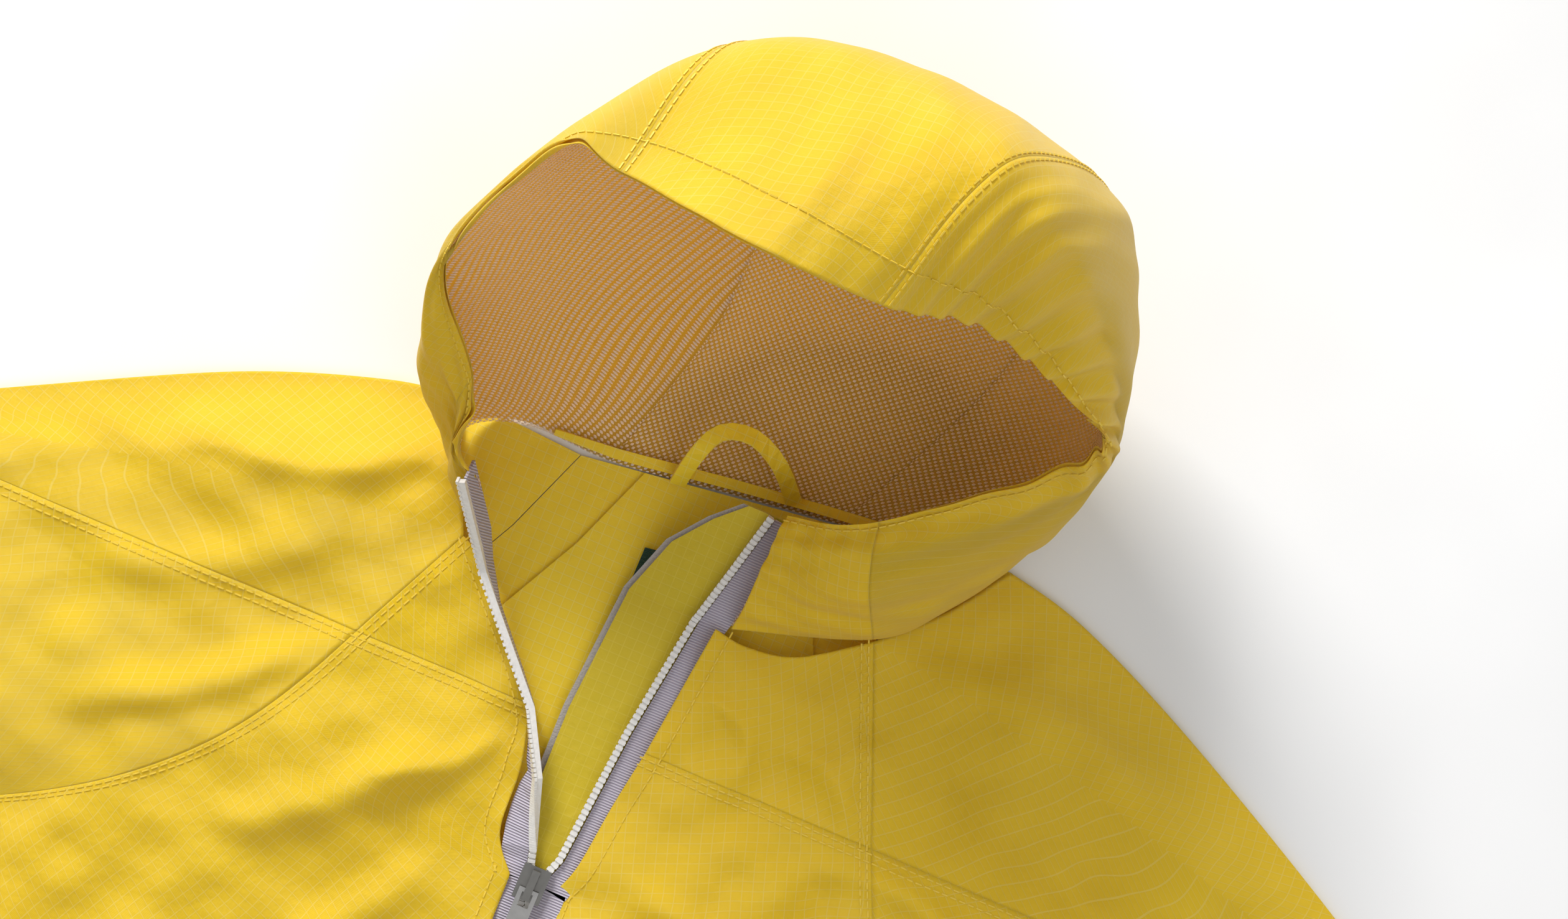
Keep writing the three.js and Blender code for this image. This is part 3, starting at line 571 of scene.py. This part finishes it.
def hood_creases(s, t):
    free = ease(t / 0.12)
    ripple = np.sin(s * 2 * math.pi * 3.6 + 0.8 * np.sin(s * 5))
    gathers = 2.2 * ease((t - 0.6) / 0.35) * ripple * np.exp(-(((s - 8) / 1.6) ** 2))
    swing = np.sin(s * 2 * math.pi * 0.9 + t * 3)
    drape = 2.6 * swing * np.exp(-(((t - 0.5) / 0.3) ** 2)) * ease((3.2 - s) / 1.5)
    broad, fine = hand_noise(s * 40, t * 190, 80, 8), hand_noise(s * 40, t * 190, 26, 9)
    return free * (gathers + drape + 2.4 * broad + 1.1 * fine)


def hood_layer(name, first, last, material, near, far, start=None, end=None, rows=110):
    cols = int((last - first) * 42) + 2
    s = np.linspace(first, last, cols)
    fine = hood_form(np.repeat(s[None], 81, 0), np.repeat(np.linspace(0, 1, 81)[:, None], cols, 1))
    run = np.concatenate([np.zeros((1, cols)), np.cumsum(np.linalg.norm(np.diff(fine, axis=0), axis=2), 0)])
    line = np.array([np.interp(run[-1, k] - 17, run[:, k], np.linspace(0, 1, 81)) for k in range(cols)])
    begin = line if start == "line" else np.zeros(cols)
    stop = line if end == "line" else np.ones(cols)
    t = begin + (stop - begin) * np.linspace(0, 1, rows)[:, None]
    s = np.repeat(s[None], rows, 0)
    n = inward(s, t)
    form = hood_form(s, t) + n * hood_creases(s, t)[..., None]
    form[..., 2] = np.maximum(form[..., 2], 0.4)
    return cloth(name, form, material, near, far, n)


# %% Hood, facing and lining
SPANS = {"collar_right": (0, 1), "hood_side_right": (1, 4), "hood_center": (4, 6),
         "hood_side_left": (6, 10), "collar_left": (10, 11)}
for name, (first, last) in SPANS.items():
    hood_layer(name, first, last, shell_cloth, 0, WALL)
    hood_layer("facing_" + name, first, last, shell_cloth, 1.5, 1.9, start="line", rows=20)
    hood_layer("lining_" + name, first, last, net_cloth, 1.7, 1.9, end="line", rows=64)

# %% [markdown]
# Teeth and stitches are many and small. Each set is one joined mesh of short blocks along its run,
# and a run is drawn on the same surface that its cloth was made from.

# %% Teeth and stitches
def blocks(name, centers, along, up, long, wide, high, material, slot):
    centers, along, up = (np.asarray(v, float) for v in (centers, along, up))
    along = along / np.maximum(np.linalg.norm(along, axis=1, keepdims=True), 1e-9)
    up = up - along * (up * along).sum(1, keepdims=True)
    up = up / np.maximum(np.linalg.norm(up, axis=1, keepdims=True), 1e-9)
    side = np.cross(up, along)
    points = [centers + along * a * long / 2 + side * b * wide / 2 + up * c * high / 2
              for c in (-1, 1) for a, b in ((-1, -1), (1, -1), (1, 1), (-1, 1))]
    points = np.stack(points, 1).reshape(-1, 3) * MM
    box = np.array([(3, 2, 1, 0), (4, 5, 6, 7), (0, 1, 5, 4), (1, 2, 6, 5), (2, 3, 7, 6), (3, 0, 4, 7)])
    faces = (box[None] + 8 * np.arange(len(centers))[:, None, None]).reshape(-1, 4)
    mesh = bpy.data.meshes.new(name)
    mesh.from_pydata(points.tolist(), [], faces.tolist())
    mesh.materials.append(material)
    piece = bpy.data.objects.new(name, mesh)
    bpy.context.scene.collection.objects.link(piece)
    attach(piece, "garment")
    print(name, len(centers), "blocks")


ZIP_ROUTES = {
    1: [(-4, -276, 7.1, 0), (-7.5, -115, 7.1, 0), (-10.9, 45, 7.1, 0), (-6.7, 56, 7.1, 0), (-2.6, 103.6, 7.6, 0),
        (3.5, 147.8, 10, 0), (8.5, 168, 19, 0), (13.5, 189, 29, 0)],
    -1: [(-4, -276, 7.1, 0), (-7.5, -115, 7.1, 0), (-10.9, 45, 7.1, 0), (-12.6, 52, 7.1, 0), (-13.8, 57, 9.2, 0),
         (-21, 79.5, 18.5, 62), (-32.6, 100, 18.5, 84), (-64.6, 135, 22, 88), (-81, 160, 45, 88)],
}
PITCH = 2.0
TOOTH = (1.25, 2.5, 0.9)  # along the chain, across it and high
TOOTH_MIDDLE, TOOTH_TOP = 1.2, 2.5
STITCH = (2.3, 0.5, 0.35)
STITCH_STEP = 3.1
EDGE_STITCH = 5.5
for side, rows in ZIP_ROUTES.items():
    length = np.linalg.norm(np.diff(np.array(rows)[:, :3], axis=0), axis=1).sum()
    run = resample(np.array(rows, float), int(length / PITCH))
    place, turn = run[:, :3], np.radians(run[:, 3]) * side
    ahead = np.gradient(place, axis=0)
    ahead /= np.linalg.norm(ahead, axis=1, keepdims=True)
    out = np.array([side, 0, 0]) - ahead * (ahead * [side, 0, 0]).sum(1, keepdims=True)
    out /= np.linalg.norm(out, axis=1, keepdims=True)
    cos, sin = np.cos(turn)[:, None], np.sin(turn)[:, None]
    across = out * cos + np.cross(ahead, out) * sin
    face = np.cross(ahead, across) * -side
    word = "left" if side > 0 else "right"
    middle = place + across * TOOTH_MIDDLE + face * TOOTH_TOP
    blocks(f"teeth_{word}", middle, ahead, face, *TOOTH, teeth_plastic, "zip_teeth")


def stitches(name, line, up=None):
    """Short stitches, 2.3 mm long with a gap between them, along a line in space."""
    line = np.asarray(line, float)
    length = np.linalg.norm(np.diff(line, axis=0), axis=1).sum()
    run = resample(line, max(3, int(length / STITCH_STEP)))
    ahead = np.gradient(run, axis=0)
    up = np.tile([0.0, 0.0, 1.0], (len(run), 1)) if up is None else up(run)
    blocks("stitch_" + name, run + up * 0.1, ahead, up, *STITCH, thread, None)


def laid(line, shift=(0, 0)):
    line = np.asarray(line, float) + np.array(shift)
    return np.concatenate([line, laid_height(line[:, 0], line[:, 1])[:, None] + WALL], 1)


for word, half in HALVES.items():
    side = half["side"]
    s = SEAMS[word]
    for k, gap in enumerate((1.6, 4.2)):
        yoke_line = resample(joined(s["yoke_body"], s["yoke_sleeve"]), 200)
        stitches(f"yoke_{word}_{k}", laid(yoke_line, (0, -gap)))
        stitches(f"raglan_{word}_{k}", laid(resample(s["raglan_upper"], 80), (-side * gap, 0)))
        stitches(f"armhole_{word}_{k}", laid(resample(s["raglan_lower"], 120), (-side * gap, 0)))
    edge = [(x + side * (TAPE_EDGE + EDGE_STITCH), y) for x, y in (SLIDER, ZIP_HEM)]
    stitches(f"front_{word}", laid(resample(straight(*edge), 200)))
    zip_foot = (SLIDER[0] + side * TAPE_EDGE, SLIDER[1])
    upper = smooth_run([half["zip_neck"], half["zip_yoke"], *half["zip_bend"], zip_foot], 120)
    stitches(f"placket_{word}", laid(upper, (side * EDGE_STITCH, 0)))


def hood_line(s, t):
    s, t = np.broadcast_arrays(np.asarray(s, float), np.asarray(t, float))
    n = inward(s, t)
    return hood_form(s, t) + n * (hood_creases(s, t)[..., None] - 0.15), -n


run_t = np.linspace(0.03, 0.985, 300)
for seam in (4, 6):
    for k, off in enumerate((-0.035, 0.035)):
        line, out = hood_line(seam + off, run_t)
        stitches(f"hood_{seam}_{k}", line, lambda run, out=out: resample(out, len(run)))
line, out = hood_line(np.linspace(0.05, 10.95, 900), 0.93)
stitches("face_edge", line, lambda run, out=out: resample(out, len(run)))

# %% [markdown]
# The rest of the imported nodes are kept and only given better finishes, each by the slot that it fills.

# %% Kept nodes
FINISHES = {
    "zip_tape": tape_cloth, "zip_chain": teeth_plastic, "underlap_backing": fleece, "underlap": flap_plan,
    "zip_slider": dark_metal, "pull_tab": bright_metal, "label": label_cloth,
}
for name, node in frame["nodes"].items():
    key = next((key for key in FINISHES if name.startswith(key)), None)
    node.data.materials.clear()
    node.data.materials.append(FINISHES[key] if key else shell_plan)
print("kept nodes finished")

# %% [markdown]
# A pale floor keeps the shadow. A low key light shows the creases, and a wide fill softens them. The
# camera sees a white background, and the cloth is lit by half as much of it.

# %% Floor, light and background
bpy.ops.mesh.primitive_plane_add(size=6, location=(0, 0, -0.0005))
floor = bpy.context.object
floor.name = "floor"
floor.data.materials.append(plain("pale floor", (0.93, 0.93, 0.93, 1), 0.8, 5, 0.00001))
LIGHTS = [  # name, place, turn, size, power
    ("key", (-1.1, 1.5, 1.1), (-0.94, -0.56, 0), 0.7, 50),
    ("fill", (1.2, -0.5, 1.6), (0.3, 0.6, 0), 1.6, 9),
]
for name, place, turn, size, power in LIGHTS:
    data = bpy.data.lights.new(name, "AREA")
    data.size, data.energy = size, power
    lamp = bpy.data.objects.new(name, data)
    lamp.location = place
    lamp.rotation_euler = turn
    bpy.context.scene.collection.objects.link(lamp)
world = bpy.data.worlds.new("world")
bpy.context.scene.world = world
world.use_nodes = True
sky = world.node_tree.nodes["Background"]
path = world.node_tree.nodes.new("ShaderNodeLightPath")
seen = world.node_tree.nodes.new("ShaderNodeMath")
seen.operation = "MAXIMUM"
world.node_tree.links.new(path.outputs["Is Camera Ray"], seen.inputs[0])
world.node_tree.links.new(path.outputs["Is Transmission Ray"], seen.inputs[1])
bright = world.node_tree.nodes.new("ShaderNodeMath")
bright.operation = "MULTIPLY_ADD"
world.node_tree.links.new(seen.outputs[0], bright.inputs[0])
bright.inputs[1].default_value = 0.5
bright.inputs[2].default_value = 0.5
sky.inputs[0].default_value = (1, 1, 1, 1)
world.node_tree.links.new(bright.outputs[0], sky.inputs[1])
print("lit")
